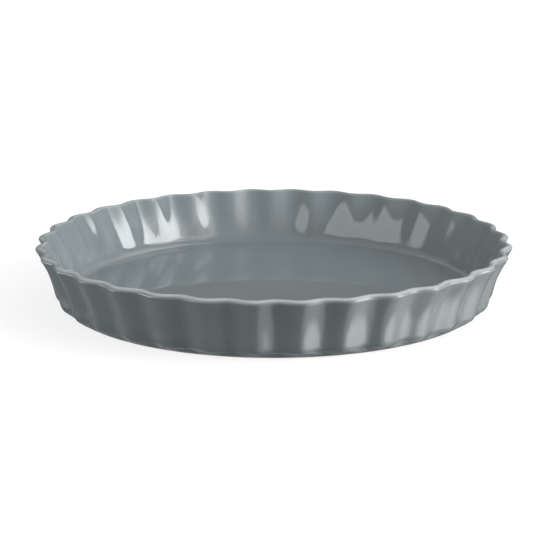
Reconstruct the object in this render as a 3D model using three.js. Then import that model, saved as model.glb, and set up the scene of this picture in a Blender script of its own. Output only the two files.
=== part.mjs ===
import * as THREE from 'three';
import { mergeVertices } from 'three/addons/utils/BufferGeometryUtils.js';

// A fluted ceramic tart dish, in millimetres with +Z up. The origin is on the table, under its centre.
// It is a fired stoneware body under a fired glaze. One coat of glaze runs from the inside floor, over
// the rim and down the outside to a line above the foot, where the clay is left bare to stand on.
// The underside, within the foot ring, has a disc of glaze of its own.

// Driving dimensions: lengths in millimetres, angles in degrees
const HEIGHT = 42; // table to the crest of the glazed rim
const RIM_RADIUS = 156; // centre to the rim's crest, halfway between a lobe and a hollow
const RIM_THICKNESS = 3.8; // clay of the wall where the rim rounds it over, without its glaze
const GLAZE = 0.5; // clay to the outer face of the fired glaze
const GLAZE_SEAT = 0.05; // clearance between the clay and the glaze on it
const OUTSIDE_LEAN_AT_RIM = 32; // outside face from upright, where the rim's rounding starts
const OUTSIDE_LEAN_AT_HEEL = 12; // outside face from upright, where the heel's rounding starts
const INSIDE_LEAN_AT_RIM = 37; // inside face from upright, where the rim's rounding ends
const INSIDE_LEAN_AT_COVE = 19.5; // inside face from upright, where the cove starts
const FLOOR_LEVEL = 8; // table to the glazed inside floor
const COVE_RADIUS = 10; // rounding of the clay from the inside floor to the wall
const HEEL_RADIUS = 10; // rounding of the clay from the wall to the undercut
const UNDERCUT = 5; // slope of the clay from the heel in to the foot
const UNDERCUT_RISE = 47; // undercut from level
const BARE_EDGE = 0.6; // bare clay from the glaze line down to the table, bevelled at 45 degrees
const FOOT_WIDTH = 6; // flat ring that the dish stands on
const RECESS_DEPTH = 2; // table to the clay of the underside
const RECESS_SLOPE = 2; // run of the recess's sloping wall
const UNDERSIDE_MARGIN = 3; // bare clay between the recess's wall and the underside glaze

const FLUTES = 32; // lobes around the wall
const FLUTE_DEPTH = 3.8; // hollow to lobe, at the rim and down the outside to the heel

// Facets
const STEPS_PER_FLUTE = 6;
const RIM_STEPS = 3;
const WALL_STEPS = 2;
const COVE_STEPS = 2;
const HEEL_STEPS = 1;
const UNDERSIDE_STEPS = 48;

const { clamp, degToRad, lerp } = THREE.MathUtils;

// A section is drawn in a half plane: x is the distance from the dish's axis, y is the height.
const AXIS_POINT = new THREE.Vector2(0, 0);
const OUTWARD = new THREE.Vector2(1, 0);
const UPWARD = new THREE.Vector2(0, 1);

function towards(start, angle, distance) {
  const x = start.x + distance * Math.cos(angle);
  const y = start.y + distance * Math.sin(angle);
  return new THREE.Vector2(x, y);
}

// The wall flares towards the rim, and each of its faces is an arc whose centre lies outside the dish.
// What lies above and below a face leaves its own drop, which with its two leans gives its arc.
const rimRadius = RIM_THICKNESS / 2;
const rimCentre = new THREE.Vector2(RIM_RADIUS, HEIGHT - GLAZE - rimRadius);

// Outside, the heel rounds the wall into the undercut, which slopes in to the glaze line at the foot.
const outsideRimLean = degToRad(OUTSIDE_LEAN_AT_RIM);
const heelLean = degToRad(OUTSIDE_LEAN_AT_HEEL);
const undercutRise = degToRad(UNDERCUT_RISE);
const outsideTop = rimCentre.y - rimRadius * Math.sin(outsideRimLean);
const heelDrop = HEEL_RADIUS * (Math.cos(undercutRise) - Math.sin(heelLean));
const undercutDrop = UNDERCUT * Math.sin(undercutRise);
const outsideDrop = outsideTop - heelDrop - undercutDrop - BARE_EDGE;
const outsideRadius = outsideDrop / (Math.sin(outsideRimLean) - Math.sin(heelLean));
const outsideCentre = towards(rimCentre, -outsideRimLean, outsideRadius + rimRadius);
const heelCentre = towards(outsideCentre, Math.PI - heelLean, outsideRadius + HEEL_RADIUS);
const heelEnd = towards(heelCentre, undercutRise - Math.PI / 2, HEEL_RADIUS);
const glazeLine = towards(heelEnd, undercutRise, -UNDERCUT);
const footOutside = glazeLine.x - BARE_EDGE;
const footInside = footOutside - FOOT_WIDTH;
const recessRadius = footInside - RECESS_SLOPE;

// Inside, the cove rounds the wall into the floor.
const insideRimLean = degToRad(INSIDE_LEAN_AT_RIM);
const coveLean = degToRad(INSIDE_LEAN_AT_COVE);
const floorHeight = FLOOR_LEVEL - GLAZE;
const insideTop = rimCentre.y + rimRadius * Math.sin(insideRimLean);
const coveTop = floorHeight + COVE_RADIUS * (1 - Math.sin(coveLean));
const insideRadius = (insideTop - coveTop) / (Math.sin(insideRimLean) - Math.sin(coveLean));
const insideCentre = towards(rimCentre, -insideRimLean, insideRadius - rimRadius);
const coveCentre = towards(insideCentre, Math.PI - coveLean, insideRadius + COVE_RADIUS);

// The flutes are equally deep all the way down the outside. Inside, they fade evenly from rim to floor.
function outsideFlutes() {
  return FLUTE_DEPTH;
}

function insideFlutes(height) {
  const rise = (height - floorHeight) / (rimCentre.y - floorHeight);
  return FLUTE_DEPTH * clamp(rise, 0, 1);
}

// A station is a point of the section, the way that the clay faces there, and the depth of the flutes.
// On an arc the clay faces away from the centre where side is 1, and towards it where side is -1.
function arc(centre, radius, from, to, steps, side, flutes) {
  const stations = [];
  for (let step = 0; step <= steps; step += 1) {
    const angle = lerp(from, to, step / steps);
    const point = towards(centre, angle, radius);
    const facing = towards(AXIS_POINT, angle, side);
    stations.push({ point, facing, flute: flutes(point.y) });
  }
  return stations;
}

function plainStation(x, y, facing) {
  return { point: new THREE.Vector2(x, y), facing, flute: 0 };
}

// The glazed face of the clay, from the glaze line up the outside, over the rim and down to the floor's
// centre. Along the undercut the flutes fade out to the round glaze line.
function glazedSection() {
  const undercutFacing = undercutRise - Math.PI / 2;
  const heel = arc(heelCentre, HEEL_RADIUS, undercutFacing, -heelLean, HEEL_STEPS, 1, outsideFlutes);
  const outside = arc(
    outsideCentre, outsideRadius,
    Math.PI - heelLean, Math.PI - outsideRimLean, WALL_STEPS, -1, outsideFlutes,
  );
  const rim = arc(
    rimCentre, rimRadius,
    -outsideRimLean, Math.PI - insideRimLean, RIM_STEPS, 1, outsideFlutes,
  );
  const inside = arc(
    insideCentre, insideRadius,
    Math.PI - insideRimLean, Math.PI - coveLean, WALL_STEPS, 1, insideFlutes,
  );
  const cove = arc(coveCentre, COVE_RADIUS, -coveLean, -Math.PI / 2, COVE_STEPS, -1, insideFlutes);
  return [
    plainStation(glazeLine.x, glazeLine.y, OUTWARD),
    ...heel,
    ...outside.slice(1),
    ...rim.slice(1),
    ...inside.slice(1),
    ...cove.slice(1),
    plainStation(0, floorHeight, UPWARD),
  ];
}

// Joins the revolve's seam and leaves out the empty triangles on its axis. Inside out, the faces turn over.
function closeSolid(revolved, insideOut) {
  revolved.deleteAttribute('normal');
  revolved.deleteAttribute('uv');
  const solid = mergeVertices(revolved);
  const corners = solid.index.array;
  const kept = [];
  for (let first = 0; first < corners.length; first += 3) {
    const [a, b, c] = corners.slice(first, first + 3);
    if (a !== b && b !== c && c !== a) {
      kept.push(...(insideOut ? [a, c, b] : [a, b, c]));
    }
  }
  solid.setIndex(kept);
  solid.computeVertexNormals();
  return solid;
}

// Revolves the stations about +Z, then moves each point in or out by its flutes. Hollows lie on the axes.
function revolve(stations, steps, insideOut = false) {
  const outline = stations.map((station) => station.point);
  const revolved = new THREE.LatheGeometry(outline, steps);
  revolved.rotateX(Math.PI / 2);
  const position = revolved.attributes.position;
  for (let vertex = 0; vertex < position.count; vertex += 1) {
    const { flute } = stations[vertex % stations.length];
    if (flute > 0) {
      const x = position.getX(vertex);
      const y = position.getY(vertex);
      const shift = -flute / 2 * Math.cos(FLUTES * Math.atan2(y, x));
      const growth = 1 + shift / Math.hypot(x, y);
      position.setXY(vertex, x * growth, y * growth);
    }
  }
  return closeSolid(revolved, insideOut);
}

function stonewareBody() {
  const underside = [
    plainStation(0, RECESS_DEPTH),
    plainStation(recessRadius, RECESS_DEPTH),
    plainStation(footInside, 0),
    plainStation(footOutside, 0),
  ];
  return revolve([...underside, ...glazedSection()], FLUTES * STEPS_PER_FLUTE);
}

function offset(stations, distance) {
  return stations.map(({ point, facing, flute }) => ({
    point: point.clone().addScaledVector(facing, distance),
    flute,
  }));
}

// The coat's outer face comes first and its clay side second, in the body's order, so that the facets of
// the coat follow those of the clay under it. That order is inside out.
function glazeCoat() {
  const claySide = offset(glazedSection(), GLAZE_SEAT);
  const outerSide = offset(glazedSection(), GLAZE).reverse();
  return revolve([...outerSide, ...claySide], FLUTES * STEPS_PER_FLUTE, true);
}

function undersideGlaze() {
  const radius = recessRadius - UNDERSIDE_MARGIN;
  const disc = [
    plainStation(0, RECESS_DEPTH - GLAZE),
    plainStation(radius, RECESS_DEPTH - GLAZE),
    plainStation(radius, RECESS_DEPTH - GLAZE_SEAT),
    plainStation(0, RECESS_DEPTH - GLAZE_SEAT),
  ];
  return revolve(disc, UNDERSIDE_STEPS);
}

function namedMesh(name, geometry, look) {
  const mesh = new THREE.Mesh(geometry, new THREE.MeshStandardMaterial(look));
  mesh.name = name;
  return mesh;
}

const bareClay = { color: 0xcbbfae, roughness: 0.85, metalness: 0 };
const greyGlaze = { color: 0x788284, roughness: 0.1, metalness: 0 };

const dish = new THREE.Group();
dish.add(namedMesh('stoneware_body', stonewareBody(), bareClay));
dish.add(namedMesh('glaze_coat', glazeCoat(), greyGlaze));
dish.add(namedMesh('underside_glaze', undersideGlaze(), greyGlaze));

export default dish;
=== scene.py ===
import math

import bpy
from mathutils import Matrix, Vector


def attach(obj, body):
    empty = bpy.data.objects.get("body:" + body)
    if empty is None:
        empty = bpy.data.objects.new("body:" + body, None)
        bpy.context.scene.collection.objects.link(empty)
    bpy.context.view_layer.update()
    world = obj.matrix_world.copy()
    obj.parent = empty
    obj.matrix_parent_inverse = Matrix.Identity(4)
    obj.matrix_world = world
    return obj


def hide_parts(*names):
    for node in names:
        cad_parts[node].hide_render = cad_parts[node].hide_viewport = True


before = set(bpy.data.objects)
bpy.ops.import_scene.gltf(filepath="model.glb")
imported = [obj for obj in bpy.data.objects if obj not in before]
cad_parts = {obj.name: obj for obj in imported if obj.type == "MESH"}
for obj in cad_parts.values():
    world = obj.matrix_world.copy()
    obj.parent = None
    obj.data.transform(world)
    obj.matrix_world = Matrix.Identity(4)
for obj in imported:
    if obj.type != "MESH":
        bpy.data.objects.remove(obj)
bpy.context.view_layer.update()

# A fluted tart dish: a stoneware body, the glaze coat over it and the glaze on its underside.
# Everything is in metres, in the frame of the solids: +Z up, the table at z = 0.
MM = 0.001

# Driving sizes, the same as those of the solids
HEIGHT = 42 * MM
RIM_RADIUS = 156 * MM
RIM_THICKNESS = 3.8 * MM
GLAZE = 0.5 * MM
GLAZE_SEAT = 0.05 * MM  # clearance between the clay and its glaze
OUTSIDE_RIM_LEAN = math.radians(32)
HEEL_LEAN = math.radians(12)
INSIDE_RIM_LEAN = math.radians(37)
COVE_LEAN = math.radians(19.5)
FLOOR_LEVEL = 8 * MM
COVE_RADIUS = 10 * MM
HEEL_RADIUS = 10 * MM
UNDERCUT = 5 * MM
UNDERCUT_RISE = math.radians(47)
BARE_EDGE = 0.6 * MM
BARE_EDGE_RISE = math.radians(45)
FOOT_WIDTH = 6 * MM
RECESS_DEPTH = 2 * MM
RECESS_SLOPE = 2 * MM
UNDERSIDE_MARGIN = 3 * MM
FLUTES = 32
FLUTE_DEPTH = 3.8 * MM

# Finishing forms that only the scene has
FOOT_ROUNDING = 0.45 * MM
GLAZE_ROLL = 2.2 * MM  # length over which the coat thins to its edge
UNDERSIDE_ROLL = 1.5 * MM  # the same at the edge of the underside's glaze

# The rim's top is gently crowned and slopes outwards, between these facings from level.
CROWN_RADIUS = 5.0 * MM
CROWN_OUTER_FACING = math.radians(56)
CROWN_INNER_FACING = math.radians(90)

# Mesh steps: around the dish, then along the parts of the section of the hidden clay
STEPS_AROUND = FLUTES * 24
UNDERCUT_STEPS = 4
HEEL_STEPS = 4
OUTSIDE_STEPS = 6
RIM_STEPS = 4  # for each of the rim's three arcs
INSIDE_STEPS = 8
COVE_STEPS = 6
CORNER_STEPS = 6
UNDERSIDE_ROLL_STEPS = 8
FINE = 2  # how many times finer the glazed face is than the clay under it
EDGE_CROWDING = 1.8  # power by which the undercut's steps crowd towards the coat's edge

# Rings on the flat faces, as shares of their radius
FLOOR_RINGS = (0.97, 0.85, 0.55, 0.0)
RECESS_RINGS = (0.5, 0.85)
UNDERSIDE_RING = 0.6


def towards(start, angle, distance):
    return (start[0] + distance * math.cos(angle), start[1] + distance * math.sin(angle))


def lerp(a, b, t):
    return a + (b - a) * t


def arc_span(start, end):
    """From one facing to another on a circle of radius 1."""
    return math.cos(end) - math.cos(start), math.sin(end) - math.sin(start)


def cross(first, second):
    return first[0] * second[1] - first[1] * second[0]


# The section: x is the distance from the axis, y the height.
rim_radius = RIM_THICKNESS / 2

# The crown and its two edges turn as far as a half-round rim and meet the wall's faces where it would,
# which gives the radius of each edge and how much the crown lies below the half round.
outer_facing = -OUTSIDE_RIM_LEAN
inner_facing = math.pi - INSIDE_RIM_LEAN
rim_span = arc_span(outer_facing, inner_facing)
outer_edge_span = arc_span(outer_facing, CROWN_OUTER_FACING)
crown_span = arc_span(CROWN_OUTER_FACING, CROWN_INNER_FACING)
inner_edge_span = arc_span(CROWN_INNER_FACING, inner_facing)
crown_radius = CROWN_RADIUS - GLAZE
edges_reach = [rim_radius * rim_span[axis] - crown_radius * crown_span[axis] for axis in (0, 1)]
outer_edge = cross(edges_reach, inner_edge_span) / cross(outer_edge_span, inner_edge_span)
inner_edge = cross(outer_edge_span, edges_reach) / cross(outer_edge_span, inner_edge_span)
outer_edge_rise = rim_radius * math.sin(outer_facing) + outer_edge * outer_edge_span[1]
crown_top = outer_edge_rise + crown_radius * crown_span[1]
rim_centre = (RIM_RADIUS, HEIGHT - GLAZE - crown_top)
outer_edge_centre = towards(rim_centre, outer_facing, rim_radius - outer_edge)
crown_centre = towards(outer_edge_centre, CROWN_OUTER_FACING, outer_edge - crown_radius)
inner_edge_centre = towards(crown_centre, CROWN_INNER_FACING, crown_radius - inner_edge)

# Outside: the wall's arc, the heel, the undercut, the foot and the recess
undercut_facing = UNDERCUT_RISE - math.pi / 2
outside_top = rim_centre[1] - rim_radius * math.sin(OUTSIDE_RIM_LEAN)
heel_drop = HEEL_RADIUS * (math.cos(UNDERCUT_RISE) - math.sin(HEEL_LEAN))
undercut_drop = UNDERCUT * math.sin(UNDERCUT_RISE)
outside_drop = outside_top - heel_drop - undercut_drop - BARE_EDGE
outside_radius = outside_drop / (math.sin(OUTSIDE_RIM_LEAN) - math.sin(HEEL_LEAN))
outside_centre = towards(rim_centre, -OUTSIDE_RIM_LEAN, outside_radius + rim_radius)
heel_centre = towards(outside_centre, math.pi - HEEL_LEAN, outside_radius + HEEL_RADIUS)
heel_end = towards(heel_centre, undercut_facing, HEEL_RADIUS)
glaze_line = towards(heel_end, UNDERCUT_RISE, -UNDERCUT)
foot_outside = glaze_line[0] - BARE_EDGE
foot_inside = foot_outside - FOOT_WIDTH
recess_radius = foot_inside - RECESS_SLOPE

# Inside: the wall's arc, the cove and the floor
floor_height = FLOOR_LEVEL - GLAZE
inside_top = rim_centre[1] + rim_radius * math.sin(INSIDE_RIM_LEAN)
cove_top = floor_height + COVE_RADIUS * (1 - math.sin(COVE_LEAN))
inside_radius = (inside_top - cove_top) / (math.sin(INSIDE_RIM_LEAN) - math.sin(COVE_LEAN))
inside_centre = towards(rim_centre, -INSIDE_RIM_LEAN, inside_radius - rim_radius)
cove_centre = towards(inside_centre, math.pi - COVE_LEAN, inside_radius + COVE_RADIUS)
floor_radius = cove_centre[0]


def outside_flutes(height):
    """Outside, the flutes keep their depth from the rim to the heel."""
    return FLUTE_DEPTH


def inside_flutes(height):
    """Inside, the flutes fade evenly from the rim to the floor."""
    rise = (height - floor_height) / (rim_centre[1] - floor_height)
    return FLUTE_DEPTH * min(max(rise, 0.0), 1.0)


# The arcs from the undercut over the rim to the floor: centre, radius, first and last facing, steps, the side
# that the glaze is on (1 outside the arc, -1 within it), and the depth of the flutes.
SECTION_ARCS = (
    (heel_centre, HEEL_RADIUS, undercut_facing, -HEEL_LEAN, HEEL_STEPS, 1, outside_flutes),
    (outside_centre, outside_radius, math.pi - HEEL_LEAN, math.pi - OUTSIDE_RIM_LEAN,
     OUTSIDE_STEPS, -1, outside_flutes),
    (outer_edge_centre, outer_edge, outer_facing, CROWN_OUTER_FACING, RIM_STEPS, 1, outside_flutes),
    (crown_centre, crown_radius, CROWN_OUTER_FACING, CROWN_INNER_FACING, RIM_STEPS, 1, outside_flutes),
    (inner_edge_centre, inner_edge, CROWN_INNER_FACING, inner_facing, RIM_STEPS, 1, outside_flutes),
    (inside_centre, inside_radius, math.pi - INSIDE_RIM_LEAN, math.pi - COVE_LEAN,
     INSIDE_STEPS, 1, inside_flutes),
    (cove_centre, COVE_RADIUS, -COVE_LEAN, -math.pi / 2, COVE_STEPS, -1, inside_flutes),
)


def glazed_face(distance, fine, edge_distance):
    """Stations (radius, height, flute depth) from the glaze line over the rim to the floor's centre.

    They lie off the clay by a distance, which changes to another at the coat's edge.
    """
    stations = []
    undercut_steps = UNDERCUT_STEPS * fine
    for step in range(undercut_steps + 1):
        progress = (step / undercut_steps) ** EDGE_CROWDING
        clay = towards(glaze_line, UNDERCUT_RISE, UNDERCUT * progress)
        rolled = min(UNDERCUT * progress / GLAZE_ROLL, 1.0)
        thickness = lerp(edge_distance, distance, math.sqrt(1.0 - (1.0 - rolled) ** 2))
        x, y = towards(clay, undercut_facing, thickness)
        stations.append((x, y, FLUTE_DEPTH * progress))
    for centre, radius, first, last, clay_steps, side, flutes in SECTION_ARCS:
        steps = clay_steps * fine
        for step in range(1, steps + 1):
            angle = lerp(first, last, step / steps)
            clay = towards(centre, angle, radius)
            x, y = towards(clay, angle, side * distance)
            stations.append((x, y, flutes(clay[1])))
    for share in FLOOR_RINGS:
        stations.append((floor_radius * share, floor_height + distance, 0.0))
    return stations


def rounded_corner(corner, heading_in, heading_out):
    """A corner of the section, rounded, where the outline turns from one heading to another."""
    turn = heading_out - heading_in
    reach = FOOT_ROUNDING * abs(math.tan(turn / 2))
    start = towards(corner, heading_in, -reach)
    side = 1.0 if turn > 0 else -1.0
    centre = towards(start, heading_in + side * math.pi / 2, FOOT_ROUNDING)
    stations = []
    for step in range(CORNER_STEPS + 1):
        angle = heading_in - side * math.pi / 2 + turn * step / CORNER_STEPS
        x, y = towards(centre, angle, FOOT_ROUNDING)
        stations.append((x, y, 0.0))
    return stations


def underside():
    """The clay of the underside, from the axis to the glaze line, with rounded foot edges."""
    stations = [(0.0, RECESS_DEPTH, 0.0)]
    for share in RECESS_RINGS:
        stations.append((recess_radius * share, RECESS_DEPTH, 0.0))
    slope = math.atan2(RECESS_DEPTH, RECESS_SLOPE)
    stations += rounded_corner((recess_radius, RECESS_DEPTH), 0.0, -slope)
    stations += rounded_corner((foot_inside, 0.0), -slope, 0.0)
    stations += rounded_corner((foot_outside, 0.0), 0.0, BARE_EDGE_RISE)
    return stations


def underside_disc():
    """The glaze of the underside: a thin disc with a rolled edge."""
    radius = recess_radius - UNDERSIDE_MARGIN
    top = RECESS_DEPTH - GLAZE_SEAT
    thickness = GLAZE - GLAZE_SEAT
    stations = [(0.0, top - thickness, 0.0), (radius * UNDERSIDE_RING, top - thickness, 0.0)]
    for step in range(UNDERSIDE_ROLL_STEPS + 1):
        progress = step / UNDERSIDE_ROLL_STEPS
        x = radius - UNDERSIDE_ROLL + UNDERSIDE_ROLL * math.sin(progress * math.pi / 2)
        y = top - thickness * math.cos(progress * math.pi / 2)
        stations.append((x, y, 0.0))
    stations.append((radius * UNDERSIDE_RING, top, 0.0))
    stations.append((0.0, top, 0.0))
    return stations


def revolve(name, stations):
    """A closed solid from stations that start and end on the axis, with the flutes' wave around it."""
    waves = []
    for step in range(STEPS_AROUND):
        angle = 2 * math.pi * step / STEPS_AROUND
        waves.append((math.cos(angle), math.sin(angle), -0.5 * math.cos(FLUTES * angle)))
    verts = [(0.0, 0.0, stations[0][1])]
    for radius, height, flute in stations[1:-1]:
        for c, s, wave in waves:
            reach = radius + flute * wave
            verts.append((reach * c, reach * s, height))
    verts.append((0.0, 0.0, stations[-1][1]))
    rings = len(stations) - 2
    last = len(verts) - 1
    faces = []
    for step in range(STEPS_AROUND):
        nxt = (step + 1) % STEPS_AROUND
        faces.append((0, 1 + nxt, 1 + step))
        for ring in range(rings - 1):
            a = 1 + ring * STEPS_AROUND
            b = a + STEPS_AROUND
            faces.append((a + step, a + nxt, b + nxt, b + step))
        end = 1 + (rings - 1) * STEPS_AROUND
        faces.append((end + step, end + nxt, last))
    mesh = bpy.data.meshes.new(name)
    mesh.from_pydata(verts, [], faces)
    mesh.update()
    mesh.polygons.foreach_set("use_smooth", [True] * len(mesh.polygons))
    piece = bpy.data.objects.new(name, mesh)
    bpy.context.scene.collection.objects.link(piece)
    return piece


clay_face = glazed_face(0.0, 1, 0.0)
body = revolve("fired_clay_body", underside() + clay_face)
outer_face = glazed_face(GLAZE, FINE, GLAZE_SEAT)
seat_face = glazed_face(GLAZE_SEAT, 1, GLAZE_SEAT)
coat = revolve("slate_glaze_coat", list(reversed(seat_face)) + outer_face[1:])
disc = revolve("underside_slate_glaze", underside_disc())

for piece, node, slot in (
    (body, "stoneware_body", "bare_clay"),
    (coat, "glaze_coat", "grey_glaze"),
    (disc, "underside_glaze", "grey_glaze"),
):
    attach(piece, "root")
    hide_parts(node)

# Nodes


def new_material(name):
    material = bpy.data.materials.new(name)
    material.use_nodes = True
    tree = material.node_tree
    tree.nodes.clear()
    return material, tree


def feed(tree, socket, value):
    """Links another node's output to a socket, or sets the socket's own value."""
    if isinstance(value, bpy.types.NodeSocket):
        tree.links.new(value, socket)
    else:
        socket.default_value = value


def add_node(tree, kind, inputs, **settings):
    node = tree.nodes.new("ShaderNode" + kind)
    for key, value in settings.items():
        setattr(node, key, value)
    for key, value in inputs.items():
        feed(tree, node.inputs[key], value)
    return node


def maths(tree, operation, first, second=0.0):
    return add_node(tree, "Math", {0: first, 1: second}, operation=operation).outputs[0]


def times(tree, first, second):
    return maths(tree, "MULTIPLY", first, second)


def plus(tree, first, second):
    return maths(tree, "ADD", first, second)


def fade(tree, value, start, end, low=0.0, high=1.0):
    """Low where the value is at start, high where it is at end, and smooth between them."""
    inputs = {"Value": value, "From Min": start, "From Max": end, "To Min": low, "To Max": high}
    return add_node(tree, "MapRange", inputs, interpolation_type="SMOOTHSTEP").outputs[0]


def blend(tree, share, first, second):
    """From the first colour to the second by a share."""
    inputs = {0: share, 6: first, 7: second}
    return add_node(tree, "Mix", inputs, data_type="RGBA").outputs[2]


def noise(tree, place, scale, detail):
    inputs = {"Vector": place, "Scale": scale, "Detail": detail}
    return add_node(tree, "TexNoise", inputs).outputs["Fac"]


def relief(tree, height, depth, under=None, **settings):
    """A normal with a relief of a depth in metres, laid over another one."""
    inputs = {"Strength": 1.0, "Distance": depth, "Height": height}
    if under is not None:
        inputs["Normal"] = under
    return add_node(tree, "Bump", inputs, **settings).outputs[0]


def new_group(name, inputs, outputs):
    tree = bpy.data.node_groups.new(name, "ShaderNodeTree")
    for socket, kind in inputs.items():
        tree.interface.new_socket(socket, in_out="INPUT", socket_type="NodeSocket" + kind)
    for socket in outputs:
        tree.interface.new_socket(socket, in_out="OUTPUT", socket_type="NodeSocketFloat")
    return tree, tree.nodes.new("NodeGroupInput").outputs, tree.nodes.new("NodeGroupOutput").inputs


def use_group(tree, group, inputs):
    node = tree.nodes.new("ShaderNodeGroup")
    node.node_tree = group
    for key, value in inputs.items():
        feed(tree, node.inputs[key], value)
    return node.outputs


# Kiln mottle: the cloudy variation of a fired surface, broad and fine
FINE_CLOUDS = 9.0  # how many times smaller than the broad ones

mottle, given, result = new_group(
    "kiln_mottle", {"Place": "Vector", "Cloud Size": "Float"}, ("Broad", "Fine"),
)
broad_scale = maths(mottle, "DIVIDE", 1.0, given["Cloud Size"])
fine_scale = times(mottle, broad_scale, FINE_CLOUDS)
for output, scale, detail in (("Broad", broad_scale, 2.0), ("Fine", fine_scale, 3.0)):
    cloud = noise(mottle, given["Place"], scale, detail)
    feed(mottle, result[output], fade(mottle, cloud, 0.3, 0.7))

# Iron specks: small dots, one in some of the cells of a grid
specks, given, result = new_group(
    "iron_specks",
    {"Place": "Vector", "Spacing": "Float", "Dot Size": "Float", "Share": "Float"},
    ("Specks",),
)
cell_scale = maths(specks, "DIVIDE", 1.0, given["Spacing"])
cells = add_node(specks, "TexVoronoi", {"Vector": given["Place"], "Scale": cell_scale}, feature="F1")
off_centre = times(specks, cells.outputs["Distance"], given["Spacing"])
dot = fade(specks, maths(specks, "DIVIDE", off_centre, given["Dot Size"]), 1.0, 0.4)
lot = add_node(specks, "SeparateColor", {"Color": cells.outputs["Color"]}).outputs["Red"]
chosen = maths(specks, "LESS_THAN", lot, given["Share"])
feed(specks, result["Specks"], times(specks, dot, chosen))

# Hand finish: the slight unevenness of a pressed and sponged surface
finish, given, result = new_group("hand_finish", {"Place": "Vector", "Wave Length": "Float"}, ("Height",))
wave_scale = maths(finish, "DIVIDE", 1.0, given["Wave Length"])
feed(finish, result["Height"], noise(finish, given["Place"], wave_scale, 1.0))

# Glaze
GLAZE_COLOUR = (0.153, 0.179, 0.186, 1.0)
POOLED_GLAZE = (0.136, 0.161, 0.168, 1.0)
# Pale glaze for the rim crest and the heel line: partly glaze that ran thin, partly a painted highlight
THIN_GLAZE_AND_HIGHLIGHT = (0.285, 0.31, 0.315, 1.0)
IRON_IN_GLAZE = (0.07, 0.075, 0.07, 1.0)
GLAZE_IOR = 1.5

glaze, tree = new_material("slate_grey_glaze")
texture_place = tree.nodes.new("ShaderNodeTexCoord").outputs
place = texture_place["Object"]
axes = add_node(tree, "SeparateXYZ", {0: place}).outputs
height = axes[2]
squares = [maths(tree, "POWER", axis, 2.0) for axis in (axes[0], axes[1])]
radius = maths(tree, "SQRT", plus(tree, *squares))
bearing = maths(tree, "ARCTAN2", axes[1], axes[0])
clouds = use_group(tree, mottle, {"Place": place, "Cloud Size": 45 * MM})

# The rim's crest is paler, most of all on its outward slope. This is partly glaze that ran thin and partly a
# painted highlight where the lamps catch the rim.
THIN_PATCH = 9 * MM  # length of the patches in which the pale crest and heel line (thin glaze and painted highlight) come and go
CREST_WANDER = 0.6 * MM
CREST_START = HEIGHT - 1.3 * MM
CREST_FULL = HEIGHT - 0.3 * MM
CREST_INSIDE = 0.45  # how pale the painted highlight and thin glaze are on the crest's inward slope, next to 1 on the outward one

normal_axes = add_node(tree, "SeparateXYZ", {0: texture_place["Normal"]}).outputs
products = [times(tree, normal_axes[axis], axes[axis]) for axis in (0, 1)]
outward = maths(tree, "DIVIDE", plus(tree, *products), radius)
outward = fade(tree, outward, -0.15, 0.4, CREST_INSIDE, 1.0)
patches = noise(tree, place, 1.0 / THIN_PATCH, 2.0)
crest_height = plus(tree, height, times(tree, patches, CREST_WANDER))
crest_thin_glaze_and_highlight = times(tree, fade(tree, crest_height, CREST_START, CREST_FULL), outward)

# A pale line, with gaps, along the edge between the heel and the undercut: a painted highlight on the edge,
# whose mask also raises a bead of glaze in the relief.
HEEL_EDGE_REACH = 0.5 * MM
HEEL_EDGE_FULL = 0.1 * MM

heel_edge_height = heel_end[1] - GLAZE * math.cos(UNDERCUT_RISE)
off_heel_edge = maths(tree, "ABSOLUTE", maths(tree, "SUBTRACT", height, heel_edge_height))
heel_bead_and_highlight = fade(tree, off_heel_edge, HEEL_EDGE_REACH, HEEL_EDGE_FULL)
heel_bead_and_highlight = times(tree, heel_bead_and_highlight, fade(tree, patches, 0.35, 0.6))
thin_glaze_and_highlight_mask = maths(tree, "MAXIMUM", crest_thin_glaze_and_highlight, heel_bead_and_highlight)

# It pooled in the cove.
POOL_TOP = FLOOR_LEVEL + 9 * MM
POOL_FULL = FLOOR_LEVEL + 1 * MM
POOL_WIDTH = 14 * MM

pool = fade(tree, height, POOL_TOP, POOL_FULL)
pool = times(tree, pool, fade(tree, radius, floor_radius - POOL_WIDTH, floor_radius))

# Streaks that the glaze left as it ran down the wall
RUN_WIDTH = 1.7 * MM
RUN_SHRINK_UP = 0.08  # the noise is stretched along the wall by shrinking these two
RUN_SHRINK_OUT = 0.3
WALL_START = floor_radius - 4 * MM
WALL_FULL = floor_radius + 2 * MM

run_place = add_node(tree, "CombineXYZ", {
    0: times(tree, bearing, RIM_RADIUS),
    1: times(tree, height, RUN_SHRINK_UP),
    2: times(tree, radius, RUN_SHRINK_OUT),
}).outputs[0]
wall = fade(tree, radius, WALL_START, WALL_FULL)
runs = times(tree, noise(tree, run_place, 1.0 / RUN_WIDTH, 3.0), wall)

# Colour: how deep the glaze lies, then the pale crest and heel line (partly thin glaze, partly painted
# highlight), and the iron in it
BROAD_DEPTH = 0.45
FINE_DEPTH = 0.15
RUN_DEPTH = 0.25
IRON_STRENGTH = 0.6

depth = plus(tree, times(tree, clouds["Broad"], BROAD_DEPTH), times(tree, clouds["Fine"], FINE_DEPTH))
depth = plus(tree, depth, times(tree, runs, RUN_DEPTH))
depth = maths(tree, "MAXIMUM", depth, pool)
colour = blend(tree, depth, GLAZE_COLOUR, POOLED_GLAZE)
# Painted highlight: the crest and heel line are lightened towards the pale glaze, with some thin glaze too
colour = blend(tree, thin_glaze_and_highlight_mask, colour, THIN_GLAZE_AND_HIGHLIGHT)
iron = use_group(tree, specks, {
    "Place": place, "Spacing": 7 * MM, "Dot Size": 0.35 * MM, "Share": 0.3,
})["Specks"]
colour = blend(tree, times(tree, iron, IRON_STRENGTH), colour, IRON_IN_GLAZE)

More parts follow.
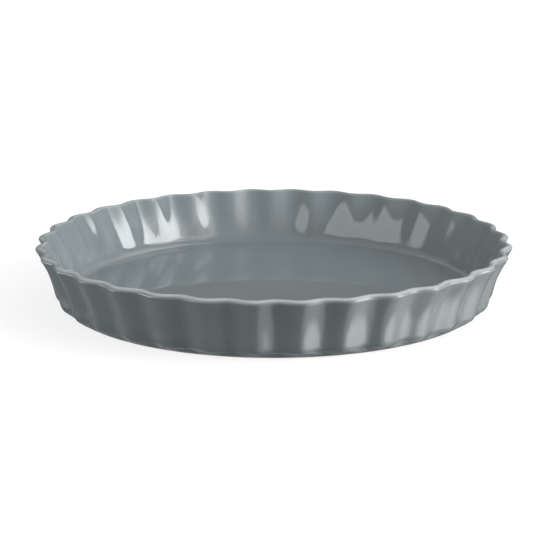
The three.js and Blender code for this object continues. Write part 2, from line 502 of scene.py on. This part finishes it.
# Baking and washing leave the floor and the thin edges a little duller. These edges are the crest and heel line
# that also carry the painted highlight.
GLOSSY = 0.012
LESS_GLOSSY = 0.03
WEAR_ROUGHNESS = 0.03
FLOOR_WEAR = 0.5
THIN_WEAR = 0.6
FLOOR_WEAR_FULL = 0.6  # share of the floor's radius

floor_wear = times(tree, fade(tree, radius, floor_radius, FLOOR_WEAR_FULL * floor_radius), clouds["Fine"])
worn = maths(tree, "MAXIMUM", times(tree, floor_wear, FLOOR_WEAR), times(tree, thin_glaze_and_highlight_mask, THIN_WEAR))
roughness = fade(tree, clouds["Broad"], 0.0, 1.0, GLOSSY, LESS_GLOSSY)
roughness = plus(tree, roughness, times(tree, worn, WEAR_ROUGHNESS))

# Relief: waves that are faint on the floor, runs, a bead along the heel's edge, and pinholes
WAVE_LENGTH = 14 * MM
WAVE_DEPTH = 0.06 * MM
FLOOR_WAVES = 0.1
RUN_HEIGHT = 0.035 * MM
BEAD_HEIGHT = 0.12 * MM
PINHOLE_DEPTH = 0.05 * MM

waves = use_group(tree, finish, {"Place": place, "Wave Length": WAVE_LENGTH})["Height"]
waves = times(tree, waves, fade(tree, wall, 0.0, 1.0, FLOOR_WAVES, 1.0))
normal = relief(tree, waves, WAVE_DEPTH)
normal = relief(tree, runs, RUN_HEIGHT, normal)
normal = relief(tree, heel_bead_and_highlight, BEAD_HEIGHT, normal)
normal = relief(tree, iron, PINHOLE_DEPTH, normal, invert=True)
shader = add_node(tree, "BsdfPrincipled", {
    "Base Color": colour, "Roughness": roughness, "Normal": normal, "IOR": GLAZE_IOR,
})
add_node(tree, "OutputMaterial", {"Surface": shader.outputs[0]})
coat.data.materials.append(glaze)
disc.data.materials.append(glaze)

# Clay
CLAY_COLOUR = (0.6, 0.52, 0.42, 1.0)
TOASTED_CLAY = (0.47, 0.36, 0.26, 1.0)
RUBBED_CLAY = (0.46, 0.42, 0.37, 1.0)
IRON_IN_CLAY = (0.16, 0.1, 0.07, 1.0)
TOASTING = 0.45
RUBBING = 0.8
RUBBED_HEIGHT = 0.4 * MM
CLAY_ROUGHNESS = 0.9
RUBBED_ROUGHNESS = 0.6
GRAIN = 0.5 * MM
GRAIN_DEPTH = 0.08 * MM

clay, tree = new_material("bare_stoneware")
place = tree.nodes.new("ShaderNodeTexCoord").outputs["Object"]
height = add_node(tree, "SeparateXYZ", {0: place}).outputs[2]
clouds = use_group(tree, mottle, {"Place": place, "Cloud Size": 30 * MM})
colour = blend(tree, times(tree, clouds["Broad"], TOASTING), CLAY_COLOUR, TOASTED_CLAY)

# Shelves and tables rub the foot ring, which is the lowest of the clay.
rubbed = times(tree, fade(tree, height, RUBBED_HEIGHT, 0.0), clouds["Fine"])
colour = blend(tree, times(tree, rubbed, RUBBING), colour, RUBBED_CLAY)
iron = use_group(tree, specks, {
    "Place": place, "Spacing": 2.6 * MM, "Dot Size": 0.3 * MM, "Share": 0.4,
})["Specks"]
colour = blend(tree, iron, colour, IRON_IN_CLAY)
grain = use_group(tree, finish, {"Place": place, "Wave Length": GRAIN})["Height"]
shader = add_node(tree, "BsdfPrincipled", {
    "Base Color": colour,
    "Roughness": fade(tree, rubbed, 0.0, 1.0, CLAY_ROUGHNESS, RUBBED_ROUGHNESS),
    "Normal": relief(tree, grain, GRAIN_DEPTH),
})
add_node(tree, "OutputMaterial", {"Surface": shader.outputs[0]})
body.data.materials.append(clay)

# Camera, at the photograph's angle
CAMERA_DISTANCE = 1.7429  # from the middle of the rim
CAMERA_RISE = math.radians(13.807)
CAMERA_SIDE = math.radians(-90.68)
CAMERA_PITCH = math.radians(14.582)
FILM_WIDTH = 36.0
FOCAL_LENGTH = 169.25
FRAME_SHIFT = 0.0021

camera_data = bpy.data.cameras.new("photo_camera")
camera_data.sensor_width = FILM_WIDTH
camera_data.lens = FOCAL_LENGTH
camera_data.shift_x = FRAME_SHIFT
camera = bpy.data.objects.new("photo_camera", camera_data)
camera_reach = CAMERA_DISTANCE * math.cos(CAMERA_RISE)
camera.location = (
    camera_reach * math.cos(CAMERA_SIDE),
    camera_reach * math.sin(CAMERA_SIDE),
    HEIGHT + CAMERA_DISTANCE * math.sin(CAMERA_RISE),
)
camera.rotation_euler = (math.pi / 2 - CAMERA_PITCH, 0.0, CAMERA_SIDE + math.pi / 2)
bpy.context.scene.collection.objects.link(camera)
bpy.context.scene.camera = camera

# Floor
FLOOR_REACH = 3.0
FLOOR_GAP = 0.05 * MM  # under the foot, so that the two flat faces don't flicker
FLOOR_COLOUR = (0.23, 0.23, 0.23, 1.0)
FLOOR_GLOW = 0.78  # strength that only the camera sees; the light on the floor brings it to white

floor_mesh = bpy.data.meshes.new("studio_floor")
floor_corners = [
    (FLOOR_REACH * x, FLOOR_REACH * y, -FLOOR_GAP) for x, y in ((-1, -1), (1, -1), (1, 1), (-1, 1))
]
floor_mesh.from_pydata(floor_corners, [], [(0, 1, 2, 3)])
floor = bpy.data.objects.new("studio_floor", floor_mesh)
bpy.context.scene.collection.objects.link(floor)
# The glaze mirrors lamps below the floor, which stand for what the table showed, so the floor is clear to
# glossy rays and holds back no light from below.
floor.visible_glossy = False
floor.visible_shadow = False
pale, tree = new_material("pale_floor")
diffuse = add_node(tree, "BsdfDiffuse", {"Color": FLOOR_COLOUR})
camera_ray = tree.nodes.new("ShaderNodeLightPath").outputs["Is Camera Ray"]
glow = add_node(tree, "Emission", {"Strength": times(tree, camera_ray, FLOOR_GLOW)})
top_side = add_node(tree, "AddShader", {0: diffuse.outputs[0], 1: glow.outputs[0]})
# From below, the floor is clear, so that the underside of the dish can be looked at.
backfacing = tree.nodes.new("ShaderNodeNewGeometry").outputs["Backfacing"]
clear = tree.nodes.new("ShaderNodeBsdfTransparent")
surface = add_node(tree, "MixShader", {0: backfacing, 1: top_side.outputs[0], 2: clear.outputs[0]})
add_node(tree, "OutputMaterial", {"Surface": surface.outputs[0]})
floor_mesh.materials.append(pale)

# World: white to the camera, and a dim studio to the glaze, as the photograph's reflections show.
# Glossy rays are left out of the white for that, and no piece is metal or glass.
SURROUND = (0.17, 0.17, 0.17, 1.0)
WHITE = (1.0, 1.0, 1.0, 1.0)

world = bpy.data.worlds.new("studio_surround")
bpy.context.scene.world = world
world.use_nodes = True
tree = world.node_tree
tree.nodes.clear()
rays = tree.nodes.new("ShaderNodeLightPath").outputs
backdrop = maths(tree, "MAXIMUM", rays["Is Camera Ray"], rays["Is Transmission Ray"])
background = add_node(tree, "Background", {"Color": blend(tree, backdrop, SURROUND, WHITE)})
add_node(tree, "OutputWorld", {"Surface": background.outputs[0]})

# Softboxes
LAMP_DISTANCE = 4.0

# Upright ones: bearing (0 right of the dish, -90 at the camera), span from it to each side and span from level,
# in degrees as the dish sees them; radiance; and the shares of the panel over which it fades, at the low and
# the high end of the first span and then of the second.
UPRIGHT_SOFTBOXES = {
    "right_softbox": (-16, (-15.5, 17.5), (-8, 46), 8.6, (0.03, 0.04, 0.1, 0.45)),
    "right_softbox_wing": (-40, (-22, 11), (26, 47), 1.3, (0.35, 0.1, 0.2, 0.65)),
    "right_softbox_spill": (-30, (-27, 36), (2, 63), 4.2, (0.94, 0.36, 0.03, 0.2)),
    "right_low_fill": (28, (-38, 42), (-18, 27), 2.6, (0.25, 0.65, 0.05, 0.95)),
    "left_softbox": (-147, (-39.5, 31), (-4, 42.5), 2.75, (0.23, 0.03, 0.35, 0.12)),
    "left_table_glow": (-178, (-43, 30), (-35, 10), 5.2, (0.55, 0.5, 0.5, 0.28)),
    "back_softbox": (88, (-45, 32), (17.5, 64), 0.5, (0.2, 0.2, 0.04, 0.5)),
    "rim_softbox": (45, (-30, 35), (38, 66), 1.4, (0.3, 0.3, 0.3, 0.3)),
    "front_fill": (-85, (-44, 56), (3, 68), 1.55, (0.9, 0.1, 0.13, 0.95)),
    "table_image_of_right_softbox": (-18, (-38, 48), (-54, -1), 3.4, (0.22, 0.6, 0.34, 0.09)),
    "right_table_glow": (-12, (-62, 70), (-74, -20), 1.2, (0.2, 0.55, 0.5, 0.17)),
}

# These show in the glaze without lighting the wall, whose gaps between the reflections stay dark.
REFLECTED_ONLY = ("table_image_of_right_softbox", "right_table_glow")

# Level ones: height, span from left to right and span from front to back, in lamp distances; radiance; fades
LEVEL_SOFTBOXES = {
    "top_softbox": (1, (-1.45, 2.9), (-1.36, 1.8), 0.46, (0.11, 0.06, 0.66, 0.22)),
    "underside_light": (-0.05, (-0.03, 0.03), (-0.03, 0.03), 16.0, (0.2, 0.2, 0.2, 0.2)),
}

# This one is close under the foot ring and lights the underside and the undercut, without showing in them.
NOT_REFLECTED = ("underside_light",)


def fade_edges(lamp, left, right, bottom, top):
    """Dims a panel towards its four edges, each over a share of its width or height."""
    lamp.use_nodes = True
    tree = lamp.node_tree
    tree.nodes.clear()
    face = tree.nodes.new("ShaderNodeNewGeometry").outputs["Parametric"]
    across, up, _ = add_node(tree, "SeparateXYZ", {0: face}).outputs
    sides = times(tree, fade(tree, across, 0.0, left), fade(tree, across, 1.0, 1.0 - right))
    ends = times(tree, fade(tree, up, 0.0, bottom), fade(tree, up, 1.0, 1.0 - top))
    emission = add_node(tree, "Emission", {"Strength": times(tree, sides, ends)})
    add_node(tree, "OutputLight", {"Surface": emission.outputs[0]})


def lamp_panel(name, width, depth, place, turn, radiance, fades):
    """A rectangular lamp, with the power that gives it a radiance where it doesn't fade."""
    lamp = bpy.data.lights.new(name, "AREA")
    lamp.shape = "RECTANGLE"
    lamp.size = width
    lamp.size_y = depth
    lamp.energy = radiance * math.pi * width * depth
    fade_edges(lamp, *fades)
    panel = bpy.data.objects.new(name, lamp)
    panel.location = place
    panel.rotation_euler = turn
    panel.visible_diffuse = name not in REFLECTED_ONLY
    panel.visible_glossy = name not in NOT_REFLECTED
    bpy.context.scene.collection.objects.link(panel)


def upright_softbox(name, bearing, sides, ends, radiance, fades):
    left, right = (LAMP_DISTANCE * math.tan(math.radians(angle)) for angle in sides)
    bottom, top = (LAMP_DISTANCE * math.tan(math.radians(angle)) for angle in ends)
    turn = math.radians(bearing)
    outward = Vector((math.cos(turn), math.sin(turn), 0.0))
    across = Vector((-math.sin(turn), math.cos(turn), 0.0))
    place = outward * LAMP_DISTANCE + across * (left + right) / 2
    place.z = (bottom + top) / 2
    facing = (math.pi / 2, 0.0, turn + math.pi / 2)
    lamp_panel(name, right - left, top - bottom, place, facing, radiance, fades)


def level_softbox(name, height, sides, ends, radiance, fades):
    """Faces down, or up where its height is negative."""
    left, right = (LAMP_DISTANCE * side for side in sides)
    front, back = (LAMP_DISTANCE * end for end in ends)
    place = ((left + right) / 2, (front + back) / 2, LAMP_DISTANCE * height)
    facing = (0.0 if height > 0 else math.pi, 0.0, 0.0)
    lamp_panel(name, right - left, back - front, place, facing, radiance, fades)


for name, settings in UPRIGHT_SOFTBOXES.items():
    upright_softbox(name, *settings)
for name, settings in LEVEL_SOFTBOXES.items():
    level_softbox(name, *settings)

bpy.context.scene.view_settings.view_transform = "Standard"
